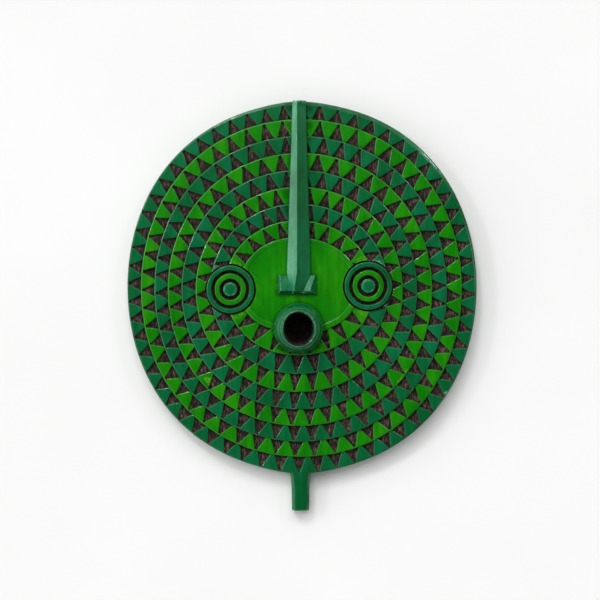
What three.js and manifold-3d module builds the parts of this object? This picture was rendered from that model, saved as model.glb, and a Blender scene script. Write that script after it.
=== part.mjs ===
// A carved wooden sun mask: one slab of wood with eight rings of chip-carved triangles, a long nose
// ridge, two ringed eyes, a tubular mouth and a short peg. It lies on its back. Seen from the front,
// +X is right, +Y is the top of the mask and +Z comes out of its face.
import * as THREE from 'three';
import { mergeVertices } from 'three/addons/utils/BufferGeometryUtils.js';
import Module from 'manifold-3d';

const wasm = await Module();
wasm.setup();

// Sizes in millimetres and angles in degrees, turning left from the mask's right. Places on the face
// are measured from the middle of the disc.
// The slab
const discRadius = 199;
const discOval = 5.2; // the rim is taller than wide by this much at each end
const discSquareness = 1.4; // the rim swells by this much at its four diagonals
const rimThickness = 22;
const domeRise = 12; // the middle of the front stands this much prouder than its rim
const frontEdge = 3; // width of the bevel round the front of the rim
const backEdge = 4; // width of the bevel round the back of the rim

// The eight rings of triangles, from the rim inwards. Each recess of a ring is one knife-cut triangle.
// The first one is at `start`, and the carver's spacing drifts by `drift` towards `driftAt`.
const rings = [
  { teeth: 61, start: 2.5, drift: 1.0, driftAt: -39 },
  { teeth: 54, start: 2.3, drift: 2.0, driftAt: 52 },
  { teeth: 50, start: 1.5, drift: 1.8, driftAt: 125 },
  { teeth: 45, start: 2.4, drift: 2.9, driftAt: 153 },
  { teeth: 40, start: 6.3, drift: 2.2, driftAt: 126 },
  { teeth: 35, start: 0.7, drift: 3.1, driftAt: 68 },
  { teeth: 29, start: 7.1, drift: 4.8, driftAt: 30 },
  { teeth: 23, start: 13.6, drift: 5.7, driftAt: 51 },
];
const ringGrowth = 0.2; // each ring is this much wider than the one outside it
const ringShiftLeft = 4.1; // the inner rings sit this far left of the middle
const ringShiftDown = 3; // and the rings halfway in sit this far below it
const ringLine = 1.8; // the unbroken line along the outer edge of a ring
const rimLine = 4.5; // the same line of the first ring, with the rim's bevel
const toothTip = 1.4; // width of a tooth where it ends, under the next ring
const recessDepth = 3; // at the broad end of a recess
const recessShallow = 1; // at its point
const terrace = 1; // each ring stands this much above the tips of the ring outside it
const overlap = 1.5; // how far a ring reaches under the next one

// The smooth field of the face, inside the last ring
const faceRadius = 60; // of its border, on average
const faceOval = 6; // the border is wider than tall by this much at each end
const fieldSunk = 2; // the field lies this much below its border
const borderAbove = 4.5; // width of the border at the brow
const borderBelow = 7; // width of the border under the cheeks
const fieldSides = 36;

// The eyes: discs with two raised rings and a raised pupil, at the two ends of the border
const eyeAngles = [182, 0.8];
const eyeOut = 9.5; // from the border's line to the middle of the eye
const eyeRadius = 26.4;
const eyeRise = 4; // the eye stands this much above the dome
const outerRingWidth = 5.8;
const innerRingRadius = 17.4;
const innerRingWidth = 6;
const pupilRadius = 7.8;
const eyeGroove = 4; // depth of the grooves between the rings
const eyeBevel = 0.9;
const moatWidth = 1.8; // groove all round the eye
const moatDepth = 3;
const eyeSides = 24;

// The mouth: a short tube with a deep hole
const mouthRight = -4.8;
const mouthIn = 8.5; // from the border's lowest line up to the middle of the mouth
const mouthRadius = 28;
const mouthLength = 32; // from the field to the lip
const lipRadius = 19.5;
const lipEdge = 2.8; // width of the lip, from the hole to the flank
const lipRound = 0.8; // how much the lip draws in at its top
const holeEndRadius = 13;
const holeFloor = 10; // wood between the end of the hole and the hollow of the back
const holeTaper = 14; // depth at which the hole starts to narrow
const mouthSides = 24;

// The nose: a ridge from over the rim down to its tip, with two small wings
const noseOverRim = 2; // the ridge stands this far past the rim
const noseTop = { left: -11.6, crest: -7, right: 3.2, rise: 7.5 };
const noseTip = { left: -18.7, crest: -8, right: 9.4, rise: 14 };
const noseTipPlace = -4.5; // where the crest ends, up from the middle of the disc
const noseUndercut = 5; // the foot of the nose's end reaches this much lower than its crest
const noseEdge = 3; // upright side of the ridge above the dome
// Each wing flares from the ridge's foot down to a shoulder beside the tip
const wings = [
  { outer: -27.6, foot: -17, shoulder: -20.5, ridge: -10.2 },
  { outer: 14.8, foot: 7.8, shoulder: 8.6, ridge: 1.1 },
];
const wingLength = 17;
const wingEdge = 1; // height of a wing's outer edge above the dome
const shoulderRise = 9;
const wingRise = 10.5; // where the wing meets the ridge beside the tip

// The peg below the rim
const pegLength = 44; // beyond the rim
const pegWidth = 21.5;
const pegEndWidth = 19;
const pegThickness = 20;
const pegBevel = 3.2;
const pegRight = -2.7;
const pegFillet = 2.5;

// The hollow in the back, for the wearer's face
const hollowHalfWidth = 82;
const hollowHalfHeight = 108;
const hollowDepth = 12;
const hollowRound = 26; // how far its floor draws in from its edge
const hollowSides = 32;

const rooted = 6; // how deep a raised form is sunk into the slab that it grows from
const clear = 10; // how far a cut reaches past the surface that it starts from

const bedHeight = rimThickness - rooted; // where the rings stand inside the slab
const ringWidth = (discRadius - faceRadius) / rings.length - (ringGrowth * (rings.length - 1)) / 2;

const woodGreen = new THREE.MeshStandardMaterial({
  color: 0x0a5a34,
  roughness: 0.35,
  metalness: 0,
  flatShading: true,
});

// Radius of a ring line at an angle: level 0 is the rim, and the last level is the face's own border
function ringRadius(level, angle) {
  const share = level / rings.length;
  const inset = level * ringWidth + ((level * (level - 1)) / 2) * ringGrowth;
  const oval = THREE.MathUtils.lerp(-discOval, faceOval, share ** 1.4) * Math.cos(2 * angle);
  const squareness = discSquareness * (1 - share) * Math.cos(4 * angle);
  const left = ringShiftLeft * Math.min(1, 0.25 + 1.5 * share) * Math.cos(angle);
  const down = ringShiftDown * Math.sin(Math.PI * share) * Math.sin(angle);
  return discRadius - inset + oval - squareness - left - down;
}

// Height of the domed front above the back, at a distance from the middle
function frontHeight(distance) {
  const share = Math.min(1, distance / discRadius);
  return rimThickness + domeRise * (1 - share * share);
}

function polar(radius, angle, height) {
  return new THREE.Vector3(radius * Math.cos(angle), radius * Math.sin(angle), height);
}

function radians(degrees) {
  return THREE.MathUtils.degToRad(degrees);
}

// The angles that divide a turn evenly
function evenAngles(sides) {
  return Array.from({ length: sides }, (_, side) => (2 * Math.PI * side) / sides);
}

// Closed solid of a geometry whose shared points are merged
function solidOf(geometry) {
  geometry.deleteAttribute('normal');
  geometry.deleteAttribute('uv');
  const merged = mergeVertices(geometry);
  const corners = Array.from(merged.index.array);
  const kept = [];
  for (let first = 0; first < corners.length; first += 3) {
    const [a, b, c] = corners.slice(first, first + 3);
    if (a !== b && b !== c && c !== a) kept.push(a, b, c);
  }
  return new wasm.Manifold(new wasm.Mesh({
    numProp: 3,
    vertProperties: new Float32Array(merged.attributes.position.array),
    triVerts: new Uint32Array(kept),
  }));
}

function solidFromFaces(points, faces) {
  const geometry = new THREE.BufferGeometry().setFromPoints(points);
  geometry.setIndex(faces);
  return solidOf(geometry);
}

function quad(a, b, c, d) {
  return [a, b, c, a, c, d];
}

// Faces between stacked loops of as many points each, turning left seen from the last loop
function wallFaces(loopCount, sides) {
  const faces = [];
  for (let first = 0; first < (loopCount - 1) * sides; first += sides) {
    for (let side = 0; side < sides; side += 1) {
      const here = first + side;
      const next = first + ((side + 1) % sides);
      faces.push(...quad(here, next, next + sides, here + sides));
    }
  }
  return faces;
}

function middleOf(points) {
  const middle = new THREE.Vector3();
  points.forEach((point) => middle.addScaledVector(point, 1 / points.length));
  return middle;
}

// Closes a loop of points, turning left seen from outside, by a fan round a hub
function closeEnd(points, faces, loop, hub = middleOf(loop.map((index) => points[index]))) {
  const hubIndex = points.push(hub) - 1;
  loop.forEach((index, side) => faces.push(index, loop[(side + 1) % loop.length], hubIndex));
}

// Solid through a stack of loops. The last loop can have a peak of its own.
function loft(loops, peak) {
  const sides = loops[0].length;
  const points = loops.flat();
  const faces = wallFaces(loops.length, sides);
  const firstLoop = Array.from({ length: sides }, (_, side) => side);
  const lastLoop = firstLoop.map((side) => (loops.length - 1) * sides + side);
  closeEnd(points, faces, firstLoop.toReversed());
  closeEnd(points, faces, lastLoop, peak);
  return solidFromFaces(points, faces);
}

// Turned solid: a profile of (radius, height) points from the foot of the axis to its top
function turned(profile, place, sides) {
  const points = profile.map(([radius, height]) => new THREE.Vector2(radius, height));
  const geometry = new THREE.LatheGeometry(points, sides);
  geometry.rotateX(Math.PI / 2);
  geometry.translate(place.x, place.y, 0);
  return solidOf(geometry);
}

// Angle of a recess, with the drift of the carver's spacing
function recessAngle(ring, index) {
  const even = ring.start + (360 / ring.teeth) * index;
  return radians(even + ring.drift * Math.cos(radians(even - ring.driftAt)));
}

// Angles of a ring's recesses, and of the tooth between each recess and the next
function ringAngles(ring) {
  const recesses = Array.from({ length: ring.teeth }, (_, index) => recessAngle(ring, index));
  const teeth = recesses.map((angle, index) => (angle + recessAngle(ring, index + 1)) / 2);
  return { recesses, teeth };
}

// Points of a ring line at some angles, moved inwards and up by a little
function lineLoop(level, angles, inset, lift) {
  return angles.map((angle) => {
    const radius = ringRadius(level, angle);
    return polar(radius - inset, angle, frontHeight(radius) + lift);
  });
}

function flatLoop(level, angles, inset, height) {
  return angles.map((angle) => polar(ringRadius(level, angle) - inset, angle, height));
}

// A ring with its teeth and recesses. Each recess has a point beside the ring's outer line and is
// broad and deep at its inner line. Inside the ring is a pit, which the next ring fills.
function ringSolid(ring, level) {
  const { recesses, teeth } = ringAngles(ring);
  const line = level === 0 ? rimLine : ringLine;
  const toothEnd = (side) => (angle) => {
    const radius = ringRadius(level + 1, angle) - overlap;
    return [radius, angle + (side * toothTip) / 2 / radius];
  };
  const recessPoint = (angle) => [ringRadius(level, angle) - line, angle];
  const row = (angles, placeOf, heightOf) => angles.map((angle) => {
    const [radius, turn] = placeOf(angle);
    return polar(radius, turn, heightOf(radius));
  });
  const onTop = (radius) => frontHeight(radius + overlap);
  const onFloor = (radius) => onTop(radius) - recessDepth;
  const onBed = () => bedHeight;
  const outside = level === 0 ? rimRows(recesses) : [
    flatLoop(level, recesses, 0, bedHeight - terrace),
    lineLoop(level, recesses, 0, terrace),
  ];
  const rows = [
    ...outside,
    row(recesses, recessPoint, (radius) => frontHeight(radius) + terrace / 2),
    row(recesses, recessPoint, (radius) => frontHeight(radius) - recessShallow),
    row(teeth, toothEnd(-1), onTop),
    row(teeth, toothEnd(1), onTop),
    row(teeth, toothEnd(-1), onFloor),
    row(teeth, toothEnd(1), onFloor),
    row(teeth, toothEnd(-1), onBed),
    row(teeth, toothEnd(1), onBed),
  ];
  const count = ring.teeth;
  const starts = rows.map((_, index) => index * count);
  const inside = starts.slice(outside.length - 1);
  const [edge, point, pointFloor, near, far, nearFloor, farFloor, nearBed, farBed] = inside;
  const faces = wallFaces(outside.length, count);
  for (let here = 0; here < count; here += 1) {
    const next = (here + 1) % count;
    faces.push(
      // Top of the tooth
      ...quad(edge + here, edge + next, point + next, point + here),
      ...quad(point + here, point + next, far + here, near + here),
      // Walls and floor of the recess after it
      ...quad(far + here, point + next, pointFloor + next, farFloor + here),
      ...quad(point + next, near + next, nearFloor + next, pointFloor + next),
      farFloor + here, pointFloor + next, nearFloor + next,
      // Side of the pit
      ...quad(near + here, far + here, farFloor + here, nearFloor + here),
      ...quad(nearFloor + here, farFloor + here, farBed + here, nearBed + here),
      ...quad(farFloor + here, nearFloor + next, nearBed + next, farBed + here),
    );
  }
  const points = rows.flat();
  const order = recesses.map((_, index) => index);
  closeEnd(points, faces, order.toReversed());
  closeEnd(points, faces, order.flatMap((index) => [nearBed + index, farBed + index]));
  return solidFromFaces(points, faces);
}

// Back, side and bevelled front edge of the rim
function rimRows(angles) {
  return [
    flatLoop(0, angles, backEdge, 0),
    flatLoop(0, angles, 0, backEdge),
    flatLoop(0, angles, 0, rimThickness - frontEdge),
    flatLoop(0, angles, frontEdge, rimThickness),
  ];
}

// The smooth field of the face, with its raised border
function fieldSolid() {
  const level = rings.length;
  const angles = evenAngles(fieldSides);
  const innerEdge = (lift) => angles.map((angle) => {
    const below = (1 - Math.sin(angle)) / 2;
    const border = THREE.MathUtils.lerp(borderAbove, borderBelow, below);
    const radius = ringRadius(level, angle) - border;
    return polar(radius, angle, frontHeight(radius) + lift);
  });
  return loft([
    flatLoop(level, angles, 0, bedHeight - terrace),
    lineLoop(level, angles, 0, terrace),
    innerEdge(terrace),
    innerEdge(terrace - fieldSunk),
  ]);
}

function eyePlace(degrees) {
  const angle = radians(degrees);
  return polar(ringRadius(rings.length, angle) + eyeOut, angle, 0);
}

function moatSolid(degrees) {
  const place = eyePlace(degrees);
  const surface = frontHeight(place.length());
  const radius = eyeRadius + moatWidth;
  const floor = surface - moatDepth;
  const above = surface + clear;
  return turned([[0, floor], [radius, floor], [radius, above], [0, above]], place, eyeSides);
}

// Profile of a raised ring with a bevelled outer edge, from its outer foot to its inner foot
function raisedRing(outer, inner, foot, top) {
  return [[outer, foot], [outer, top - eyeBevel], [outer - eyeBevel, top], [inner, top], [inner, foot]];
}

function eyeSolid(degrees) {
  const place = eyePlace(degrees);
  const surface = frontHeight(place.length());
  const top = surface + eyeRise;
  const grooveFloor = top - eyeGroove;
  const rootHeight = surface - moatDepth - rooted;
  const profile = [
    [0, rootHeight],
    [eyeRadius, rootHeight],
    ...raisedRing(eyeRadius, eyeRadius - outerRingWidth, grooveFloor, top),
    ...raisedRing(innerRingRadius, innerRingRadius - innerRingWidth, grooveFloor, top),
    [pupilRadius, grooveFloor],
    [pupilRadius, top],
    [0, top],
  ];
  return turned(profile, place, eyeSides);
}

const mouthPlace = new THREE.Vector3(mouthRight, mouthIn - ringRadius(rings.length, radians(270)), 0);
const mouthFoot = frontHeight(mouthPlace.length()) + terrace - fieldSunk;
const lipHeight = mouthFoot + mouthLength;

function mouthSolid() {
  // Quarter-round flank from the foot of the tube to its lip
  const flank = [0, 25, 50, 75].map((degrees) => {
    const turn = radians(degrees);
    const radius = lipRadius + (mouthRadius - lipRadius) * Math.cos(turn);
    return [radius, mouthFoot + (mouthLength - lipEdge) * Math.sin(turn)];
  });
  const root = mouthFoot - rooted;
  const lip = [lipRadius - lipRound, lipHeight];
  return turned([[0, root], [mouthRadius, root], ...flank, lip, [0, lipHeight]], mouthPlace, mouthSides);
}

function mouthHole() {
  const end = hollowDepth + holeFloor;
  const openRadius = lipRadius - lipEdge;
  const above = lipHeight + clear;
  const profile = [
    [0, end],
    [holeEndRadius, end],
    [openRadius, lipHeight - holeTaper],
    [openRadius, above],
    [0, above],
  ];
  return turned(profile, mouthPlace, mouthSides);
}

// One cross-section of the nose ridge: foot, side and crest, at a place along the mask's height
function noseSection({ left, crest, right, rise, place, lean }) {
  const dome = frontHeight(Math.abs(place));
  const foot = dome - rooted;
  const side = dome + noseEdge;
  return [
    new THREE.Vector3(left, place - lean, foot),
    new THREE.Vector3(left, place - lean, side),
    new THREE.Vector3(crest, place, dome + rise),
    new THREE.Vector3(right, place - lean, side),
    new THREE.Vector3(right, place - lean, foot),
  ];
}

function noseRidge() {
  const rimTop = ringRadius(0, radians(90)) + noseOverRim;
  const top = { ...noseTop, place: rimTop, lean: 0 };
  const tip = { ...noseTip, place: noseTipPlace, lean: noseUndercut };
  const sectionAt = (share) => noseSection(Object.fromEntries(
    Object.keys(top).map((key) => [key, THREE.MathUtils.lerp(tip[key], top[key], share)]),
  ));
  return loft([0, 1 / 3, 2 / 3, 1].map(sectionAt));
}

function noseWing({ outer, foot, shoulder, ridge }) {
  const dome = frontHeight(Math.abs(noseTipPlace));
  const end = noseTipPlace - noseUndercut;
  const upper = noseTipPlace + wingLength;
  const corners = [
    [outer, upper, wingEdge],
    [foot, upper, noseEdge],
    [ridge, noseTipPlace, wingRise],
    [ridge, end, wingEdge],
    [outer, end, wingEdge],
  ];
  const ordered = outer < foot ? corners.toReversed() : corners;
  const root = ordered.map(([x, y]) => new THREE.Vector3(x, y, dome - rooted));
  const top = ordered.map(([x, y, rise]) => new THREE.Vector3(x, y, dome + rise));
  return loft([root, top], new THREE.Vector3(shoulder, noseTipPlace, dome + shoulderRise));
}

// Bevelled cross-section of the peg at a place along its length
function pegSection(width, place) {
  const half = width / 2;
  const top = pegThickness;
  const outline = [
    [-half, pegBevel],
    [-half + pegBevel, 0],
    [half - pegBevel, 0],
    [half, pegBevel],
    [half, top - pegBevel],
    [half - pegBevel, top],
    [-half + pegBevel, top],
    [-half, top - pegBevel],
  ];
  return outline.map(([x, z]) => new THREE.Vector3(pegRight + x, place, z));
}

function pegSolid() {
  const rim = -ringRadius(0, radians(270));
  const rootWidth = pegWidth + 2 * pegFillet;
  return loft([
    pegSection(rootWidth, rim + rooted),
    pegSection(rootWidth, rim),
    pegSection(pegWidth, rim - pegFillet),
    pegSection(pegEndWidth, rim - pegLength),
  ]);
}

function hollowSolid() {
  const ovalLoop = (inset, height) => evenAngles(hollowSides).map((angle) => new THREE.Vector3(
    (hollowHalfWidth - inset) * Math.cos(angle),
    (hollowHalfHeight - inset) * Math.sin(angle),
    height,
  ));
  // Rounded wall: it draws in as the hollow gets deeper
  const wall = [0, 30, 60, 90].map((degrees) => {
    const turn = radians(degrees);
    return ovalLoop(hollowRound * (1 - Math.cos(turn)), hollowDepth * Math.sin(turn));
  });
  return loft([ovalLoop(0, -clear), ...wall]);
}

function maskSolid() {
  const carved = wasm.Manifold.union([...rings.map(ringSolid), fieldSolid()]);
  const ground = carved.subtract(wasm.Manifold.union(eyeAngles.map(moatSolid)));
  const forms = [
    ...eyeAngles.map(eyeSolid),
    mouthSolid(),
    noseRidge(),
    ...wings.map(noseWing),
    pegSolid(),
  ];
  const whole = wasm.Manifold.union([ground, ...forms]);
  return whole.subtract(mouthHole()).subtract(hollowSolid());
}

function meshOf(solid, name, material) {
  const { vertProperties, triVerts } = solid.getMesh();
  const geometry = new THREE.BufferGeometry();
  geometry.setAttribute('position', new THREE.BufferAttribute(vertProperties, 3));
  geometry.setIndex(new THREE.BufferAttribute(triVerts, 1));
  const mesh = new THREE.Mesh(geometry, material);
  mesh.name = name;
  return mesh;
}

// The origin is the middle of the mask's box, on the surface that it lies on
function standOnOrigin(mesh) {
  mesh.geometry.computeBoundingBox();
  const box = mesh.geometry.boundingBox;
  const middle = box.getCenter(new THREE.Vector3());
  mesh.geometry.translate(-middle.x, -middle.y, -box.min.z);
  return mesh;
}

const sunMask = new THREE.Group();
sunMask.add(standOnOrigin(meshOf(maskSolid(), 'sun_mask', woodGreen)));

export default sunMask;
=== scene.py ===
# The looks of a carved wooden sun mask, lying face up on a pale floor. One detailed piece, carved
# and painted, stands for the whole mask.
import math
import random

import bmesh
import bpy
from mathutils import Matrix, Vector, noise


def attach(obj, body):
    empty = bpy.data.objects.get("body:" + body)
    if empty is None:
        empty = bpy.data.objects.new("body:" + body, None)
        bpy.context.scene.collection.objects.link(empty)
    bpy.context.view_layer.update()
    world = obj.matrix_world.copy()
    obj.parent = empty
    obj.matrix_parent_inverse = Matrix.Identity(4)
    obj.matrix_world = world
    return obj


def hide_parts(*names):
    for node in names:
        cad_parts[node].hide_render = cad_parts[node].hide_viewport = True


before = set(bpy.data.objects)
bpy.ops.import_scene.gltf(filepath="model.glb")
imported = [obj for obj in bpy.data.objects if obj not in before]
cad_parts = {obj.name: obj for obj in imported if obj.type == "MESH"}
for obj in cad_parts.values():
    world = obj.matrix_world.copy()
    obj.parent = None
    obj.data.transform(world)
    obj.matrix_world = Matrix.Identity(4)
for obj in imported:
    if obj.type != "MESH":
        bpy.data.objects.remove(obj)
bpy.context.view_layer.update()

# Sizes in millimetres and angles in degrees, turning left from the mask's right. Places on the
# face are measured from the middle of the disc.
MM = 0.001
DISC_MIDDLE = (1.0, 21.0)  # from the frame's origin
SAME_PLACE = 4e-6  # points closer than this, in metres, are one
SHARP_EDGE = 52  # faces that meet at more than this keep a hard edge
ROOTED = 6  # a form on the slab reaches this far into it
CLEAR = 10  # a cutting form reaches this far beyond what it cuts

# The slab
DISC_RADIUS = 198.8
DISC_OVAL = 5.2
DISC_SQUARENESS = 1.4
RIM_THICKNESS = 22
RIM_HEIGHTS = (9, 14)  # of the rows up its side
RIM_SWELLS = [(92, 9, 2), (269, 12, 2.6)]  # towards the nose and the peg: at, spread, how much
DOME_RISE = 12
DOME_REACH = 199  # the dome comes down to the rim's thickness here
FRONT_EDGE = 0.55  # of the rim's line
BACK_EDGE = 4

# The rings of triangles, from the rim inwards: how many, where the first recess is, and how far
# and towards where the carver's spacing drifts
RINGS = [
    (61, 2.5, 1.0, -39),
    (54, 2.3, 2.0, 52),
    (50, 1.5, 1.8, 125),
    (45, 2.4, 2.9, 153),
    (40, 6.3, 2.2, 126),
    (35, 0.7, 3.1, 68),
    (29, 7.1, 4.8, 30),
    (23, 13.6, 5.7, 51),
]
RING_GROWTH = 0.2  # each ring is this much broader than the one outside it
RING_OVAL_DELAY = 1.4  # how late the rings turn from upright to lying ovals
RING_SHIFT_LEFT = 4.1
RIM_SHIFT = 0.25  # of the inner rings' shift to the left
SHIFT_GAIN = 1.5  # how soon the rings reach their whole shift
RING_SHIFT_DOWN = 3
RING_LINE = 1.8
RIM_LINE = 5  # where it is broadest
RIM_LINE_LEAST = 1.7
RIM_LINE_AT = 62
ROW_SHARES = [0, 0.08, 0.24, 0.42, 0.6, 0.78, 0.91, 1]  # rows of points across a ring
TOOTH_TIP = 2.6  # width of a tooth where it meets the next ring
RECESS_POINT = 3.1  # width of a recess at its blunt point
RECESS_DEPTH = 3
RECESS_SHALLOW = 1
RECESS_FOOT = 0.25  # the floor rises this much to its walls
STROKE_DEPTH = 0.35  # of the knife in a recess's floor
CHIP_DEPTH = 0.3
TERRACE = 1.0
RIM_TERRACE = 0.5  # of the other rings' terrace
EDGE_FOOT = 0.15  # a terrace's edge stands this far inside the ring line
EDGE_WIDTH = 0.8  # of the worn edge of a tooth or ring
EDGE_DROP = 0.42
EDGE_HOLD = 0.3  # the flat top starts this far inside a worn edge
WALL_LEAN = 0.5  # a recess's wall leans in by this much
TOOTH_BASE_ROUND = 0.75  # how much the corners of a tooth are rounded off
TOOTH_TIP_ROUND = 0.6
LINE_WANDER = 0.35  # how far a hand-cut line strays
TOOTH_WANDER = 0.45
CROWN = 0.22  # a tooth is this much higher along its middle
HAND_SEED = 71
# How widely the carver's hand varies each recess and tooth: shares of the widths of their points,
# then millimetres
HAND = {
    "tip": (0.6, 1.4),
    "start": (0.5, 1.5),
    "bow": (-0.15, 0.5),
    "lift": (-0.12, 0.12),
    "tilt": (-0.12, 0.12),
    "depth": (-0.3, 0.35),
}

# The smooth field of the face. Its border runs straighter at some places, each with its spread and
# depth, and steps down to the field through insets, each with its share of the step.
FACE_RADIUS = 60
FACE_OVAL = 6
FIELD_SUNK = 1.8
FIELD_SUNK_ABOVE = 0.3
FIELD_INSIDE = 1.2  # the field's own rows start this far inside the border
FIELD_SIDES = 216
FIELD_ROWS = 20
BORDER_ABOVE = 4.5
BORDER_BELOW = 7
BORDER_FLATS = [(238, 17, 3.6), (304, 17, 1.6)]
BORDER_STEP = [(-1.3, 0), (-0.6, 0.12), (-0.1, 0.33), (0.2, 0.9), (0.5, 1)]

# The outermost ring's width
RING_WIDTH = (DOME_REACH - FACE_RADIUS) / len(RINGS) - RING_GROWTH * (len(RINGS) - 1) / 2

# The eyes
EYE_ANGLES = [182, 0.8]
EYE_OUT = 9.5  # their middles are this far outside the border of the face
EYE_RADIUS = 26.2
EYE_RISE = 4
EYE_OUTER_WIDTH = 5.6
EYE_INNER_RADIUS = 17.4
EYE_INNER_WIDTH = 6
PUPIL_RADIUS = 7.8
EYE_GROOVE = 4
EYE_WANDER = 0.35
MOAT_WIDTH = 1.6
MOAT_DEPTH = 3
MOAT_WANDER = 0.5
EYE_SIDES = 96

# The mouth
MOUTH_RIGHT = -4.8
MOUTH_IN = 8.5  # its middle is this far inside the border of the face
MOUTH_DOWN = 45.5  # and about this far below the disc's middle
MOUTH_RADIUS = 28
MOUTH_LENGTH = 31.8
MOUTH_WANDER = 0.5
LIP_RADIUS = 19.5
LIP_EDGE = 2.8
HOLE_END_RADIUS = 13
HOLE_FLOOR = 22
HOLE_TAPER = 14
HOLE_STRETCH = (0.97, 1.08)  # the hole is taller than wide
HOLE_DOWN = 0.7
HOLE_WANDER = 0.4
MOUTH_SIDES = 96
MOUTH_SEED = 9

# The nose
NOSE_TOP = {"left": -11.6, "crest": -6.5, "right": 3.2, "rise": 7.5}
NOSE_TIP = {"left": -18.7, "crest": -6.4, "right": 9.4, "rise": 14}
NOSE_TIP_PLACE = -4.5
NOSE_UNDERCUT = 3.8
NOSE_EDGE = 4
NOSE_NARROWS = {"left": 7.4, "crest": -3.8, "right": -7.6, "rise": -0.8}  # between the wings
NOSE_NARROW_LENGTH = 21
NOSE_STATIONS = 72
FACET_STEPS = (0.05, 0.12, 0.35, 0.65, 0.88, 0.95)
WING_LENGTH = 17
WING_EDGE = 1
WING_ROUND = 0.5
# Each wing: its outer side and, from its upper end to its tip, where its ridge and its inner side
# are and how high they rise
WINGS = [
    {
        "outer": -27.6,
        "ridge": (-25.2, -24.6),
        "ridge_rise": (5.5, 8.4),
        "inner": (-13.5, -8),
        "inner_rise": (3.4, 4),
    },
    {
        "outer": 14.8,
        "ridge": (13, 7.4),
        "ridge_rise": (6.4, 9.4),
        "inner": (6.5, -2.4),
        "inner_rise": (2.6, 3.6),
    },
]

# The peg
PEG_LENGTH = 41.4
PEG_WIDTH = 20.4
PEG_END_WIDTH = 19
PEG_END_LOSS = 0.7  # the end is smaller by this much all round
PEG_THICKNESS = 20
PEG_BEVEL = 3.2
PEG_ROUND = 0.8
PEG_RIGHT = -2.7
PEG_FLARE = 3.4  # the peg's root is wider by this much
PEG_FLARE_LENGTH = 20
PEG_ROOT_RISE = 2.0  # the peg's front rises to the rim's at its root
PEG_STEPS = 20

# On the wings and the peg, edges that fold by more than this are rounded, and faces of more than
# this area stay flat
SOFT_FOLD = 20
BROAD_FACE = 8

# The hollow in the back
HOLLOW_HALF_WIDTH = 82
HOLLOW_HALF_HEIGHT = 108
HOLLOW_DEPTH = 12
HOLLOW_ROUND = 26
HOLLOW_INSETS = (0.97, 0.85, 0.7, 0.55, 0.42)  # shares of its half width
BACK_SIDES = 192
BACK_ROUGH = 0.12

# The stage, in metres
FRAME_WIDTH = 0.66  # of the picture at the disc
CAMERA_HEIGHT = 1.7
PICTURE_MIDDLE = (-0.0023, 0.0067)
SENSOR_WIDTH = 36
FLOOR_HALF = 6.0

# The room round the stage: the brightness of its walls at their foot and halfway up, of its
# ceiling, and of the sides away from its windows and towards them
ROOM_FOOT = 0.4
ROOM_GLOW = 1.0
ROOM_CEILING = 0.03
ROOM_FAR = 0.2
ROOM_NEAR = 1.35
BRIGHT_SIDE = (-0.42, 0.27, 0)  # towards the windows

# The lights from afar: where they stand, how high, how strong, how broad, and whether they glint
SUNS = {
    "key": (99, 61, 1.53, 44, False),
    "fill": (285, 62, 0.3, 60, False),
    "upper_glint": (115, 46, 0.4, 8, True),
    "side_glint": (158, 38, 0.28, 6, True),
    "right_glint": (42, 40, 0.17, 6, True),
}
WINDOW_PLACE = (-3.2, 0.6, 0.66)
WINDOW_SIZE = (1.9, 1.1)
WINDOW_POWER = 8

# The paints of the faces, in the order of the material slots
# The paler green is a lit copy of the dark green: painted light on faces turned towards the light.
DARK_GREEN, LIGHT_GREEN, BURNT_WOOD, BACK_WOOD, HOLE_WOOD, LIT_FACET_GREEN = range(6)


def blend(low, high, share):
    return low + (high - low) * share


def ring_radius(level, angle):
    """Radius of a ring line at an angle. Level 0 is the rim, the last one the face's border."""
    share = level / len(RINGS)
    inset = level * RING_WIDTH + level * (level - 1) / 2 * RING_GROWTH
    oval = blend(-DISC_OVAL, FACE_OVAL, share ** RING_OVAL_DELAY) * math.cos(2 * angle)
    squareness = DISC_SQUARENESS * (1 - share) * math.cos(4 * angle)
    left = RING_SHIFT_LEFT * min(1, RIM_SHIFT + SHIFT_GAIN * share) * math.cos(angle)
    down = RING_SHIFT_DOWN * math.sin(math.pi * share) * math.sin(angle)
    radius = DISC_RADIUS - inset + oval - squareness - left - down
    if level == 0:
        radius += humps(RIM_SWELLS, angle)
    if level == len(RINGS):
        radius -= humps(BORDER_FLATS, angle)
    return radius - hand_wander(level, angle)


def humps(places, angle):
    """Sum of the soft humps at some places of a ring, at an angle."""
    degrees = math.degrees(angle) % 360
    return sum(height * math.exp(-((degrees - at) / spread) ** 2) for at, spread, height in places)


def hand_wander(level, angle):
    """How far a hand-cut ring line strays from its even course."""
    if level == 0:
        return 0
    coarse = noise.noise(polar(2.2, angle, 5.3 * level))
    fine = noise.noise(polar(9, angle, 3.1 * level))
    return LINE_WANDER * (coarse + 0.5 * fine)


def front_height(distance):
    """Height of the front, without terraces and relief, at a distance from the disc's middle."""
    share = min(1, distance / DOME_REACH)
    return RIM_THICKNESS + DOME_RISE * (1 - share * share)


def polar(radius, angle, height):
    return Vector((radius * math.cos(angle), radius * math.sin(angle), height))


def even_angles(sides):
    return [2 * math.pi * side / sides for side in range(sides)]


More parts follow.
